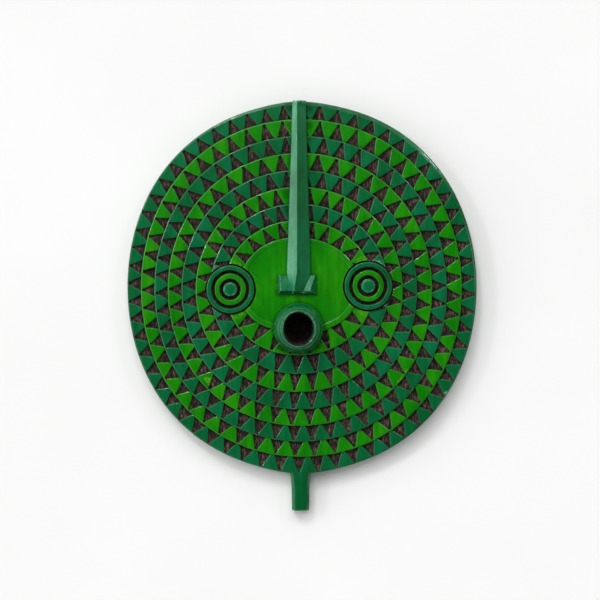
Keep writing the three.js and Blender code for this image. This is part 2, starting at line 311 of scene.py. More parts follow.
class Skin:
    """Points and painted faces of one closed skin, in millimetres."""

    def __init__(self):
        self.points = []
        self.faces = []
        self.paints = []

    def loop(self, points):
        first = len(self.points)
        self.points.extend(points)
        return list(range(first, len(self.points)))

    def face(self, corners, paint):
        self.faces.append(corners)
        self.paints.append(paint)

    def band(self, here, beyond, paints):
        """Faces between two loops of as many points. The paints repeat along the loops."""
        count = len(here)
        for side in range(count):
            after = (side + 1) % count
            corners = (here[side], here[after], beyond[after], beyond[side])
            self.face(corners, paints[side % len(paints)])

    def stitch(self, here, beyond, paint):
        """Triangles between two loops round the same axis, whatever their numbers of points."""
        here = self._from_lowest_angle(here)
        beyond = self._from_lowest_angle(beyond)
        here_turns = self._turns(here)
        beyond_turns = self._turns(beyond)
        first = second = 0
        while first < len(here) or second < len(beyond):
            one = here[first % len(here)]
            other = beyond[second % len(beyond)]
            if here_turns[first + 1] <= beyond_turns[second + 1] and first < len(here):
                first += 1
                self.face((one, here[first % len(here)], other), paint)
            else:
                second += 1
                self.face((one, beyond[second % len(beyond)], other), paint)

    def _angle(self, index):
        return math.atan2(self.points[index].y, self.points[index].x) % (2 * math.pi)

    def _from_lowest_angle(self, loop):
        start = min(range(len(loop)), key=lambda place: self._angle(loop[place]))
        return loop[start:] + loop[:start]

    def _turns(self, loop):
        turns = [self._angle(index) for index in loop]
        return turns + [turns[0] + 2 * math.pi, math.inf]

    def close(self, loop, hub, paint, outward=True):
        """A fan from a loop to a hub. Outward is for the last loop, and not for the first one."""
        middle = self.loop([hub])[0]
        for side, corner in enumerate(loop):
            after = loop[(side + 1) % len(loop)]
            self.face((corner, after, middle) if outward else (after, corner, middle), paint)

    def build(self, name):
        """An object of the skin, with slots for all the paints."""
        mesh = bpy.data.meshes.new(name)
        mesh.from_pydata(self.points, [], self.faces)
        for material in MATERIALS:
            mesh.materials.append(material)
        mesh.polygons.foreach_set("material_index", self.paints)
        piece = bpy.data.objects.new(name, mesh)
        bpy.context.scene.collection.objects.link(piece)
        return piece


def middle_of(points):
    return sum(points, Vector()) / len(points)


# Carving of the rings
# The columns of one cell go from the middle of a recess over the tooth to the next recess
RISING_KINDS = ["floor", "floor", "foot", "worn", "top"]
FALLING_KINDS = ["top", "worn", "foot", "floor"]
CELL_KINDS = RISING_KINDS + ["top", "crown", "top"] + FALLING_KINDS


def cell_paints(green):
    return [BURNT_WOOD] * 3 + [green] * 6 + [BURNT_WOOD] * 3


def recess_angle(ring, index):
    teeth, start, drift, drift_at = ring
    even = start + 360 / teeth * index
    return math.radians(even + drift * math.cos(math.radians(even - drift_at)))


def ring_cells(ring, level):
    """Each recess with the tooth after it: its angles, and what the carver's hand made of it."""
    hand = random.Random(HAND_SEED + level)
    count = ring[0]
    recesses = [recess_angle(ring, index) for index in range(count)]
    recesses.append(recesses[0] + 2 * math.pi)
    inner = ring_radius(level + 1, 0)
    cells = []
    for index in range(count):
        here = recesses[index]
        after = recesses[index + 1]
        tooth = (here + after) / 2 + hand.uniform(-TOOTH_WANDER, TOOTH_WANDER) / inner
        cells.append({
            "here": here,
            "after": after,
            "tooth": tooth,
            "tip": TOOTH_TIP / 2 * hand.uniform(*HAND["tip"]),
            "starts": [RECESS_POINT / 2 * hand.uniform(*HAND["start"]) for _ in range(2)],
            "bow": [hand.uniform(*HAND["bow"]) for _ in range(2)],
            "lift": hand.uniform(*HAND["lift"]),
            "tilt": hand.uniform(*HAND["tilt"]),
            "depth": hand.uniform(*HAND["depth"]),
        })
    return cells


def half_cell(recess, edge, radius, flip):
    """Angles of the rising kinds of points, from the middle of a recess to the top of a tooth."""
    span = abs(edge - recess)
    worn = min(EDGE_WIDTH / radius, 0.3 * span)
    wall = min(WALL_LEAN / radius, 0.3 * span)
    foot = span - worn - wall
    return [recess + flip * step for step in (0, 0.5 * foot, foot, span - worn, span)]


def cell_row(cell, level, share):
    """Angles and kinds of the points of one cell, on the row at a share of the ring's width."""
    outer = ring_radius(level, cell["tooth"])
    radius = blend(outer, ring_radius(level + 1, cell["tooth"]), share)
    bow = math.sin(math.pi * share) / radius
    starts = [start / radius for start in cell["starts"]]
    left = blend(cell["here"] + starts[0], cell["tooth"] - cell["tip"] / radius, share)
    right = blend(cell["after"] - starts[1], cell["tooth"] + cell["tip"] / radius, share)
    at_base = max(0, 1 - share / ROW_SHARES[1])
    at_tip = max(0, (share - ROW_SHARES[-2]) / (1 - ROW_SHARES[-2]))
    rounded = TOOTH_BASE_ROUND * at_base + TOOTH_TIP_ROUND * at_tip
    left += rounded / radius - cell["bow"][0] * bow
    right -= rounded / radius - cell["bow"][1] * bow
    middle = blend((left + right) / 2, cell["tooth"], share)
    hold = min(EDGE_HOLD / radius, 0.2 * (right - left))
    rising = half_cell(cell["here"], left, radius, 1)
    falling = half_cell(cell["after"], right, radius, -1)
    angles = rising + [left + hold, middle, right - hold] + falling[:0:-1]
    return list(zip(angles, CELL_KINDS))


def gouge(angle, radius, level):
    """Uneven floor of a recess, cut with strokes that run towards the rim."""
    stroke = Vector((radius * angle * 0.9, radius * 0.09, 7.7 * level))
    chip = Vector((radius * math.cos(angle) * 0.35, radius * math.sin(angle) * 0.35, 2.0))
    return STROKE_DEPTH * noise.noise(stroke) + CHIP_DEPTH * noise.noise(chip)


def ring_line(level, angle):
    """Width of the plain line outside the teeth of a ring. The rim's is broader on one side."""
    if level > 0:
        return RING_LINE
    turned = math.cos(angle - math.radians(RIM_LINE_AT))
    return blend(RIM_LINE_LEAST, RIM_LINE, max(0, turned) ** 2)


def terrace(level):
    """How far the outer side of a ring stands above the ring outside it."""
    return TERRACE * (RIM_TERRACE if level == 0 else 1)


def ring_point(cell, level, share, angle, kind):
    """Place of one point of a ring's relief."""
    outer = ring_radius(level, angle) - ring_line(level, angle)
    radius = blend(outer, ring_radius(level + 1, angle), share)
    top = front_height(radius) + terrace(level) * (1 - share)
    top += cell["lift"] * math.sin(math.pi * share)
    top += cell["tilt"] * share * (1 if angle > cell["tooth"] else -1) * (kind == "top")
    top += 0.06 * noise.noise(polar(radius * 0.12, angle, 0))
    if kind == "crown":
        return polar(radius, angle, top + CROWN * math.sin(math.pi * blend(0.2, 1, share)))
    if kind == "top":
        return polar(radius, angle, top)
    if kind == "worn":
        return polar(radius, angle, top - EDGE_DROP)
    depth = blend(RECESS_SHALLOW, RECESS_DEPTH + cell["depth"], share ** 0.8)
    floor = front_height(radius) - depth + min(1, 3 * share) * gouge(angle, radius, level)
    return polar(radius, angle, floor if kind == "floor" else floor + RECESS_FOOT)


def ring_rows(skin, ring, level, edge):
    """Adds a ring inside an edge: the rows of its outer line, then those of its teeth."""
    cells = ring_cells(ring, level)
    green = LIGHT_GREEN if level % 2 else DARK_GREEN

    def line_row(inset, lift, line_share=0):
        points = []
        for cell in cells:
            for angle, _ in cell_row(cell, level, 0):
                radius = ring_radius(level, angle) - inset - line_share * ring_line(level, angle)
                points.append(polar(radius, angle, front_height(radius) + lift))
        return skin.loop(points)

    if level == 0:
        outside = rim_rows(skin, cells, edge)
    else:
        foot = line_row(EDGE_FOOT, TERRACE - EDGE_DROP)
        skin.stitch(edge, foot, BURNT_WOOD)
        worn = line_row(EDGE_FOOT + EDGE_WIDTH, TERRACE)
        skin.band(foot, worn, [green])
        outside = line_row(EDGE_FOOT + EDGE_WIDTH + EDGE_HOLD, TERRACE)
        skin.band(worn, outside, [green])
    before_point = line_row(-EDGE_HOLD, terrace(level), 1)
    skin.band(outside, before_point, [green])
    last = before_point
    for share in ROW_SHARES:
        points = []
        for cell in cells:
            for angle, kind in cell_row(cell, level, share):
                points.append(ring_point(cell, level, share, angle, kind))
        row = skin.loop(points)
        skin.band(last, row, cell_paints(green))
        last = row
    return last


def rim_rows(skin, cells, edge):
    """The side of the rim and its rounded front edge."""
    angles = [angle for cell in cells for angle, _ in cell_row(cell, 0, 0)]

    def row(height, inset_share=0, drop_share=0):
        points = []
        for angle in angles:
            front_edge = FRONT_EDGE * ring_line(0, angle)
            radius = ring_radius(0, angle) - inset_share * front_edge
            points.append(polar(radius, angle, height - drop_share * front_edge))
        return skin.loop(points)

    last = row(BACK_EDGE)
    skin.stitch(edge, last, DARK_GREEN)
    for height in RIM_HEIGHTS:
        beyond = row(height)
        skin.band(last, beyond, [DARK_GREEN])
        last = beyond
    for degrees in (0, 22, 45, 68, 90):
        turn = math.radians(degrees)
        beyond = row(RIM_THICKNESS, 1 - math.cos(turn), 1 - math.sin(turn))
        skin.band(last, beyond, [DARK_GREEN])
        last = beyond
    return last


def back_rows(skin):
    """The back, from the middle of its hollow out to the foot of the rim."""
    angles = even_angles(BACK_SIDES)

    def hollow_row(inset, depth):
        wide = HOLLOW_HALF_WIDTH - inset
        tall = HOLLOW_HALF_HEIGHT - inset
        points = []
        for angle in angles:
            radius = wide * tall / math.hypot(tall * math.cos(angle), wide * math.sin(angle))
            place = polar(radius, angle, depth)
            points.append(place + Vector((0, 0, adze_mark(place) * min(1, depth / 4))))
        return skin.loop(points)

    rows = [hollow_row(HOLLOW_HALF_WIDTH * inset, HOLLOW_DEPTH) for inset in HOLLOW_INSETS]
    for degrees in (90, 70, 50, 30, 12, 0):
        turn = math.radians(degrees)
        rows.append(hollow_row(HOLLOW_ROUND * (1 - math.cos(turn)), HOLLOW_DEPTH * math.sin(turn)))
    skin.close(rows[0], Vector((0, 0, HOLLOW_DEPTH)), BACK_WOOD, outward=False)
    hollow_edge = rows[-1]
    for share in (0.05, 0.3, 0.6, 0.9, 1):
        points = []
        for angle, index in zip(angles, hollow_edge):
            edge = Vector(skin.points[index])
            rim = polar(ring_radius(0, angle) - BACK_EDGE, angle, 0)
            place = edge.lerp(rim, share)
            rough = BACK_ROUGH + BACK_ROUGH * noise.noise(place * 0.05) if share < 1 else 0
            points.append(place + Vector((0, 0, rough)))
        rows.append(skin.loop(points))
    for degrees in (30, 60):
        turn = math.radians(degrees)
        inset = BACK_EDGE * (1 - math.sin(turn))
        height = BACK_EDGE * (1 - math.cos(turn))
        points = [polar(ring_radius(0, angle) - inset, angle, height) for angle in angles]
        rows.append(skin.loop(points))
    for here, beyond in zip(rows, rows[1:]):
        skin.band(here, beyond, [BACK_WOOD])
    return rows[-1]


def adze_mark(place):
    """Shallow scoops of the adze in the hollow of the back."""
    cell = noise.cell(place * 0.09)
    soft = noise.noise(place * 0.08)
    return 0.35 * soft + 0.12 * cell


def field_rows(skin, edge):
    """The raised border of the face and the smooth field inside it."""
    level = len(RINGS)
    angles = even_angles(FIELD_SIDES)

    def border_width(angle):
        return blend(BORDER_ABOVE, BORDER_BELOW, (1 - math.sin(angle)) / 2)

    def sunk(angle):
        return blend(FIELD_SUNK_ABOVE, FIELD_SUNK, (1 - math.sin(angle)) / 2)

    def border_row(inset_of, lift, sunk_share=0.0):
        points = []
        for angle in angles:
            radius = ring_radius(level, angle) - inset_of(angle)
            height = front_height(radius) + lift - sunk_share * sunk(angle)
            points.append(polar(radius, angle, height))
        return skin.loop(points)

    rows = [
        border_row(lambda angle: EDGE_FOOT, TERRACE - EDGE_DROP),
        border_row(lambda angle: EDGE_FOOT + EDGE_WIDTH, TERRACE),
        border_row(lambda angle: EDGE_FOOT + EDGE_WIDTH + EDGE_HOLD, TERRACE),
    ]
    for inset, sunk_share in BORDER_STEP:
        rows.append(border_row(lambda angle: border_width(angle) + inset, TERRACE, sunk_share))
    skin.stitch(edge, rows[0], BURNT_WOOD)
    for step in range(FIELD_ROWS):
        share = blend(0.98, 0.05, step / (FIELD_ROWS - 1))
        points = []
        for angle in angles:
            radius = share * (ring_radius(level, angle) - border_width(angle) - FIELD_INSIDE)
            sink = blend(FIELD_SUNK, sunk(angle), share ** 2)
            place = polar(radius, angle, front_height(radius) + TERRACE - sink)
            points.append(place + Vector((0, 0, 0.25 * noise.noise(place * 0.06))))
        rows.append(skin.loop(points))
    for here, beyond in zip(rows, rows[1:]):
        skin.band(here, beyond, [LIGHT_GREEN])
    hub = Vector((0, 0, front_height(0) + TERRACE - FIELD_SUNK))
    skin.close(rows[-1], hub, LIGHT_GREEN)


def slab_piece():
    """The whole slab: back, rim, the rings of triangles and the field of the face."""
    skin = Skin()
    edge = back_rows(skin)
    for level, ring in enumerate(RINGS):
        edge = ring_rows(skin, ring, level, edge)
    field_rows(skin, edge)
    return skin.build("slab")


# Forms on the slab
def turned_piece(name, profile, place, sides, wander=0.0, seed=0):
    """A turned form from a profile of (radius, height, paint), up from the foot of its axis."""
    skin = Skin()
    angles = even_angles(sides)
    rows = []
    for radius, height, _ in profile[1:-1]:
        points = []
        for angle in angles:
            stray = wander * noise.noise(polar(1.6, angle, seed + radius * 0.15))
            rise = 0.4 * wander * noise.noise(polar(2, angle, seed + 40))
            points.append(place + polar(radius + stray, angle, height + rise))
        rows.append(skin.loop(points))
    skin.close(rows[0], place + Vector((0, 0, profile[0][1])), profile[0][2], outward=False)
    for here, beyond, (_, _, paint) in zip(rows, rows[1:], profile[1:]):
        skin.band(here, beyond, [paint])
    skin.close(rows[-1], place + Vector((0, 0, profile[-1][1])), profile[-2][2])
    return skin.build(name)


def eye_place(degrees):
    angle = math.radians(degrees)
    return polar(ring_radius(len(RINGS), angle) + EYE_OUT, angle, 0)


def eye_surface(degrees):
    return front_height(eye_place(degrees).length)


def moat_piece(degrees):
    surface = eye_surface(degrees)
    radius = EYE_RADIUS + MOAT_WIDTH
    floor = surface - MOAT_DEPTH
    profile = [
        (0, floor, BURNT_WOOD),
        (radius - 0.6, floor, BURNT_WOOD),
        (radius, floor + 1, BURNT_WOOD),
        (radius + 0.5, surface + CLEAR, BURNT_WOOD),
        (0, surface + CLEAR, BURNT_WOOD),
    ]
    return turned_piece("moat", profile, eye_place(degrees), EYE_SIDES, MOAT_WANDER, degrees)


def raised_ring(outer, inner, floor, top, green):
    """Profile of a raised ring with worn edges, from its outer foot to its inner foot."""
    middle = (outer + inner) / 2
    return [
        (outer, floor, BURNT_WOOD),
        (outer - 0.2, top - 1.3, green),
        (outer - 0.35, top - 0.55, green),
        (outer - 0.9, top, green),
        (outer - 1.3, top + 0.05, green),
        (middle, top + 0.12, green),
        (inner + 1.3, top + 0.05, green),
        (inner + 0.9, top, green),
        (inner + 0.35, top - 0.55, green),
        (inner + 0.2, top - 1.3, BURNT_WOOD),
        (inner, floor, BURNT_WOOD),
    ]


def groove(outer, inner, floor):
    """Profile of the floor between two raised rings."""
    return [((outer + inner) / 2, floor - 0.35, BURNT_WOOD)]


def eye_piece(degrees):
    surface = eye_surface(degrees)
    top = surface + EYE_RISE
    floor = top - EYE_GROOVE
    root = surface - MOAT_DEPTH - ROOTED
    outer_inside = EYE_RADIUS - EYE_OUTER_WIDTH
    inner_inside = EYE_INNER_RADIUS - EYE_INNER_WIDTH
    profile = [
        (0, root, BURNT_WOOD),
        (EYE_RADIUS, root, BURNT_WOOD),
        *raised_ring(EYE_RADIUS, outer_inside, floor, top, DARK_GREEN),
        *groove(outer_inside, EYE_INNER_RADIUS, floor),
        *raised_ring(EYE_INNER_RADIUS, inner_inside, floor, top, LIGHT_GREEN),
        *groove(inner_inside, PUPIL_RADIUS, floor),
        (PUPIL_RADIUS, floor, BURNT_WOOD),
        (PUPIL_RADIUS - 0.2, top - 1.3, DARK_GREEN),
        (PUPIL_RADIUS - 0.4, top - 0.5, DARK_GREEN),
        (PUPIL_RADIUS - 1.1, top, DARK_GREEN),
        (PUPIL_RADIUS / 2, top + 0.02, DARK_GREEN),
        (0, top + 0.02, DARK_GREEN),
    ]
    return turned_piece("eye", profile, eye_place(degrees), EYE_SIDES, EYE_WANDER, degrees)


def mouth_place():
    return Vector((MOUTH_RIGHT, MOUTH_IN - ring_radius(len(RINGS), math.radians(270)), 0))


MOUTH_FOOT = front_height(math.hypot(MOUTH_RIGHT, MOUTH_DOWN)) + TERRACE - FIELD_SUNK
LIP_HEIGHT = MOUTH_FOOT + MOUTH_LENGTH


def mouth_piece():
    root = MOUTH_FOOT - ROOTED
    profile = [(0, root, DARK_GREEN), (MOUTH_RADIUS, root, DARK_GREEN)]
    for step in range(13):
        turn = math.radians(80 * step / 12)
        radius = LIP_RADIUS + (MOUTH_RADIUS - LIP_RADIUS) * math.cos(turn)
        height = MOUTH_FOOT + (MOUTH_LENGTH - LIP_EDGE) * math.sin(turn)
        profile.append((radius, height, DARK_GREEN))
    profile += [
        (LIP_RADIUS + 0.75, LIP_HEIGHT - 1.5, DARK_GREEN),
        (LIP_RADIUS + 0.3, LIP_HEIGHT - 0.7, DARK_GREEN),
        (LIP_RADIUS - 0.3, LIP_HEIGHT - 0.22, DARK_GREEN),
        (LIP_RADIUS - 1, LIP_HEIGHT - 0.1, DARK_GREEN),
        (LIP_RADIUS - 3, LIP_HEIGHT - 0.1, DARK_GREEN),
        (0, LIP_HEIGHT - 0.1, DARK_GREEN),
    ]
    return turned_piece("mouth", profile, mouth_place(), MOUTH_SIDES, MOUTH_WANDER, MOUTH_SEED)


def hole_piece():
    open_radius = LIP_RADIUS - LIP_EDGE
    profile = [
        (0, HOLE_FLOOR, HOLE_WOOD),
        (HOLE_END_RADIUS, HOLE_FLOOR, HOLE_WOOD),
        (HOLE_END_RADIUS + 1.5, HOLE_FLOOR + 4, HOLE_WOOD),
        (open_radius, LIP_HEIGHT - HOLE_TAPER, HOLE_WOOD),
        (open_radius, LIP_HEIGHT - 4, DARK_GREEN),
        (open_radius + 0.1, LIP_HEIGHT - 1.6, DARK_GREEN),
        (open_radius + 0.5, LIP_HEIGHT - 0.6, DARK_GREEN),
        (open_radius + 1.1, LIP_HEIGHT + 0.3, DARK_GREEN),
        (open_radius + 1.1, LIP_HEIGHT + CLEAR, DARK_GREEN),
        (0, LIP_HEIGHT + CLEAR, DARK_GREEN),
    ]
    hole = turned_piece("hole", profile, Vector(), MOUTH_SIDES, HOLE_WANDER, MOUTH_SEED)
    place = mouth_place() - Vector((0, HOLE_DOWN, 0))
    hole.data.transform(Matrix.Translation(place) @ Matrix.Diagonal((*HOLE_STRETCH, 1, 1)))
    return hole


def lofted_piece(name, rows, paint, side_paints=None):
    """A closed form through rows of as many points, turning left seen from the last one."""
    skin = Skin()
    loops = [skin.loop(row) for row in rows]
    skin.close(loops[0], middle_of(rows[0]), paint, outward=False)
    for here, beyond in zip(loops, loops[1:]):
        skin.band(here, beyond, side_paints or [paint])
    skin.close(loops[-1], middle_of(rows[-1]), paint)
    return skin.build(name)


def facet_points(foot, crest, side, top, place, lean, rising):
    """Points up or down one facet of the nose, which is planed a little hollow."""
    points = []
    for step in FACET_STEPS if rising else reversed(FACET_STEPS):
        x = blend(foot, crest, step)
        hollow = 0.3 * math.sin(math.pi * step)
        planed = 0.16 * noise.noise(Vector((x * 0.1, place * 0.09, 5)))
        height = blend(side, top, step) - hollow + planed
        points.append(Vector((x, place - lean * (1 - step) ** 6, height)))
    return points


def nose_section(share):
    """One cross-section of the nose ridge, from the tip at share 0 to the rim at 1."""
    place = blend(NOSE_TIP_PLACE, ring_radius(0, math.radians(90)), share)
    narrow = max(0, 1 - (place - NOSE_TIP_PLACE) / NOSE_NARROW_LENGTH)
    size = {}
    for key, at_tip in NOSE_TIP.items():
        size[key] = blend(at_tip, NOSE_TOP[key], share) + narrow * NOSE_NARROWS[key]
    left, crest, right = size["left"], size["crest"], size["right"]
    lean = blend(NOSE_UNDERCUT, 0, share)
    dome = front_height(abs(place))
    foot = dome - ROOTED
    side = dome + NOSE_EDGE
    top = dome + size["rise"]
    stray = Vector((0.35 * noise.noise(Vector((place * 0.06, 3, 0))), 0, 0))
    return [
        Vector((left, place - lean, foot)),
        Vector((left, place - lean, side - 1)) + stray,
        *[point + stray for point in facet_points(left, crest, side, top, place, lean, True)],
        Vector((crest, place, top - 0.2)) + stray,
        *[point + stray for point in facet_points(right, crest, side, top, place, lean, False)],
        Vector((right, place - lean, side - 1)) + stray,
        Vector((right, place - lean, foot)),
    ]


def nose_piece():
    rows = [nose_section(station / (NOSE_STATIONS - 1)) for station in range(NOSE_STATIONS)]
    # The left facet of the nose takes the paler green: painted light where the light from the left
    # falls.
    lit_facet = [DARK_GREEN] + [LIT_FACET_GREEN] * 7 + [DARK_GREEN] * 9
    return lofted_piece("nose", rows, DARK_GREEN, lit_facet)


def wing_piece(wing):
    """One wing of the nose: a ridge with an outer slope, an inner slope and a steep end."""
    dome = front_height(abs(NOSE_TIP_PLACE))
    end = NOSE_TIP_PLACE - NOSE_UNDERCUT
    upper = NOSE_TIP_PLACE + WING_LENGTH
    skin = Skin()

    def corner(x, y, rise):
        return skin.loop([Vector((x, y, dome + rise))])[0]

    outer_top = corner(wing["outer"], upper, WING_EDGE)
    outer_end = corner(wing["outer"], end, WING_EDGE)
    inner_end = corner(wing["inner"][1], end, WING_EDGE)
    inner_tip = corner(wing["inner"][1], NOSE_TIP_PLACE, wing["inner_rise"][1])
    inner_top = corner(wing["inner"][0], upper, wing["inner_rise"][0])
    ridge_top = corner(wing["ridge"][0], upper, wing["ridge_rise"][0])
    ridge_tip = corner(wing["ridge"][1], NOSE_TIP_PLACE, wing["ridge_rise"][1])
    root_top = corner(wing["outer"], upper, -ROOTED)
    root_end = corner(wing["outer"], end, -ROOTED)
    root_inner_end = corner(wing["inner"][1], end, -ROOTED)
    root_inner_top = corner(wing["inner"][0], upper, -ROOTED)
    for corners in (
        (outer_top, outer_end, ridge_tip, ridge_top),
        (ridge_tip, outer_end, inner_end, inner_tip),
        (outer_top, ridge_top, inner_top, root_inner_top, root_top),
        (outer_top, root_top, root_end, outer_end),
        (outer_end, root_end, root_inner_end, inner_end),
        (inner_end, root_inner_end, root_inner_top, inner_top, inner_tip),
        (root_top, root_inner_top, root_inner_end, root_end),
    ):
        skin.face(corners, DARK_GREEN)
    # The wing's upper inner face takes the paler green: painted light.
    skin.face((ridge_top, ridge_tip, inner_tip, inner_top), LIT_FACET_GREEN)
    piece = skin.build("wing")
    soften(piece, WING_ROUND)
    return piece


def peg_section(width, place, rise, end_loss=0.0):
    """One cross-section of the peg, with its corners cut off."""
    half = width / 2
    low = end_loss
    top = PEG_THICKNESS + rise - end_loss
    corner = PEG_BEVEL
    outline = [
        (-half, corner + low),
        (-half + corner, low),
        (half - corner, low),
        (half, corner + low),
        (half, top - corner),
        (half - corner, top),
        (-half + corner, top),
        (-half, top - corner),
    ]
    points = []
    for x, z in outline:
        stray = 0.3 * noise.noise(Vector((x * 0.2, place * 0.08, z * 0.3)))
        across = PEG_RIGHT + x - stray * (x > 0)
        height = max(z, z + stray) if z < PEG_THICKNESS / 4 else z - abs(stray)
        points.append(Vector((across, place, height)))
    return points


def peg_piece():
    rim = -ring_radius(0, math.radians(270))
    end = rim - PEG_LENGTH
    sections = [(PEG_WIDTH + PEG_FLARE + 1, rim + ROOTED, PEG_ROOT_RISE)]
    for step in range(PEG_STEPS):
        share = step / (PEG_STEPS - 1)
        place = blend(rim + 1, end + 1, share)
        root = max(0, 1 - (rim - place) / PEG_FLARE_LENGTH)
        width = blend(PEG_WIDTH, PEG_END_WIDTH, share) + PEG_FLARE * root ** 2.5
        sections.append((width, place, PEG_ROOT_RISE * min(1, root) ** 2))
    sections.append((PEG_END_WIDTH - 2 * PEG_END_LOSS, end, 0, PEG_END_LOSS))
    rows = [peg_section(*section) for section in sections]
    piece = lofted_piece("peg", rows, DARK_GREEN)
    soften(piece, PEG_ROUND)
    return piece


def soften(piece, width):
    """Rounds the edges of a form a little, as sanding and paint do."""
    shape = bmesh.new()
    shape.from_mesh(piece.data)
    sharp = [edge for edge in shape.edges if edge.calc_face_angle(0) > math.radians(SOFT_FOLD)]
    bmesh.ops.bevel(
        shape,
        geom=sharp,
        offset=width,
        segments=2,
        profile=0.6,
        affect="EDGES",
        clamp_overlap=True,
    )
    broad = [face for face in shape.faces if face.calc_area() > BROAD_FACE]
    bmesh.ops.inset_individual(shape, faces=broad, thickness=width / 2, use_even_offset=True)
    bmesh.ops.recalc_face_normals(shape, faces=shape.faces)
    shape.to_mesh(piece.data)
    shape.free()


# Joining and cutting
def apply_modifier(piece, modifier):
    depsgraph = bpy.context.evaluated_depsgraph_get()
    changed = bpy.data.meshes.new_from_object(piece.evaluated_get(depsgraph))
    piece.modifiers.remove(modifier)
    spent = piece.data
    piece.data = changed
    bpy.data.meshes.remove(spent)


def combine(base, others, operation):
    """Joins forms to the base, or cuts them out of it."""
    for other in others:
        modifier = base.modifiers.new("carve", "BOOLEAN")
        modifier.operation = operation
        modifier.solver = "MANIFOLD"
        modifier.object = other
        apply_modifier(base, modifier)
        mesh = other.data
        bpy.data.objects.remove(other)
        bpy.data.meshes.remove(mesh)


def drop_fins(shape):
    """Removes pairs of faces that lie back to back on the same corners."""
    shape.verts.index_update()
    twins = {}
    for face in shape.faces:
        corners = frozenset(vert.index for vert in face.verts)
        twins.setdefault(corners, []).append(face)
    fins = [face for faces in twins.values() if len(faces) > 1 for face in faces]
    bmesh.ops.delete(shape, geom=fins, context="FACES")


def finish_mesh(piece):
    """Puts the piece in its place in the frame, in metres, cleans it and marks its sharp edges."""
    mesh = piece.data
    mesh.transform(Matrix.Scale(MM, 4) @ Matrix.Translation((*DISC_MIDDLE, 0)))
    shape = bmesh.new()
    shape.from_mesh(mesh)
    bmesh.ops.remove_doubles(shape, verts=shape.verts, dist=SAME_PLACE)
    bmesh.ops.dissolve_degenerate(shape, edges=shape.edges, dist=SAME_PLACE)
    bmesh.ops.triangulate(shape, faces=shape.faces)
    drop_fins(shape)
    for face in shape.faces:
        face.smooth = True
    for edge in shape.edges:
        edge.smooth = edge.calc_face_angle(0) < math.radians(SHARP_EDGE)
    shape.to_mesh(mesh)
    shape.free()
    weigh = piece.modifiers.new("flats", "WEIGHTED_NORMAL")
    weigh.keep_sharp = True
    apply_modifier(piece, weigh)


def mask_piece():
    mask = slab_piece()
    mask.name = "carved_mask"
    combine(mask, [moat_piece(degrees) for degrees in EYE_ANGLES], "DIFFERENCE")
    forms = [eye_piece(degrees) for degrees in EYE_ANGLES]
    forms += [mouth_piece(), nose_piece()]
    forms += [wing_piece(wing) for wing in WINGS]
    forms.append(peg_piece())
    combine(mask, forms, "UNION")
    combine(mask, [hole_piece()], "DIFFERENCE")
    finish_mesh(mask)
    return mask


# Materials
def new_material(name):
    material = bpy.data.materials.new(name)
    material.use_nodes = True
    return material, material.node_tree.nodes, material.node_tree.links


def add_noise(nodes, links, scale, detail=4.0, stretch=(1, 1, 1), roughness=0.55):
    """Noise in the object's own space, stretched along its axes."""
    where = nodes.new("ShaderNodeTexCoord")
    mapping = nodes.new("ShaderNodeMapping")
    mapping.inputs["Scale"].default_value = stretch
    texture = nodes.new("ShaderNodeTexNoise")
    texture.inputs["Scale"].default_value = scale
    texture.inputs["Detail"].default_value = detail
    texture.inputs["Roughness"].default_value = roughness
    links.new(where.outputs["Object"], mapping.inputs["Vector"])
    links.new(mapping.outputs["Vector"], texture.inputs["Vector"])
    return texture.outputs["Fac"]


def add_ramp(nodes, links, source, stops):
    """A colour ramp through (place, colour) stops."""
    ramp = nodes.new("ShaderNodeValToRGB")
    elements = ramp.color_ramp.elements
    while len(elements) < len(stops):
        elements.new(0.5)
    for element, (place, colour) in zip(elements, stops):
        element.position = place
        element.color = (*colour, 1)
    links.new(source, ramp.inputs["Fac"])
    return ramp.outputs["Color"]


def add_bend(nodes):
    """How the surface bends: above a half on edges, and below it in corners."""
    return nodes.new("ShaderNodeNewGeometry").outputs["Pointiness"]


def grey(value):
    return (value, value, value)


def mix_colours(nodes, links, share, first, second, mode="MIX"):
    """Mixes two colours. Each value is a number, a colour or another node's output."""
    mix = nodes.new("ShaderNodeMix")
    mix.data_type = "RGBA"
    mix.blend_type = mode
    for name, value in (("Factor", share), ("A", first), ("B", second)):
        socket = mix.inputs[name]
        if isinstance(value, (int, float)):
            socket.default_value = value
        elif isinstance(value, tuple):
            socket.default_value = (*value, 1)
        else:
            links.new(value, socket)
    return mix.outputs["Result"]


def add_bump(nodes, links, heights, distance):
    """Bump from several (height, strength) fields, one on top of another."""
    normal = None
    for height, strength in heights:
        bump = nodes.new("ShaderNodeBump")
        bump.inputs["Strength"].default_value = strength
        bump.inputs["Distance"].default_value = distance
        links.new(height, bump.inputs["Height"])
        if normal is not None:
            links.new(normal, bump.inputs["Normal"])
        normal = bump.outputs["Normal"]
    return normal


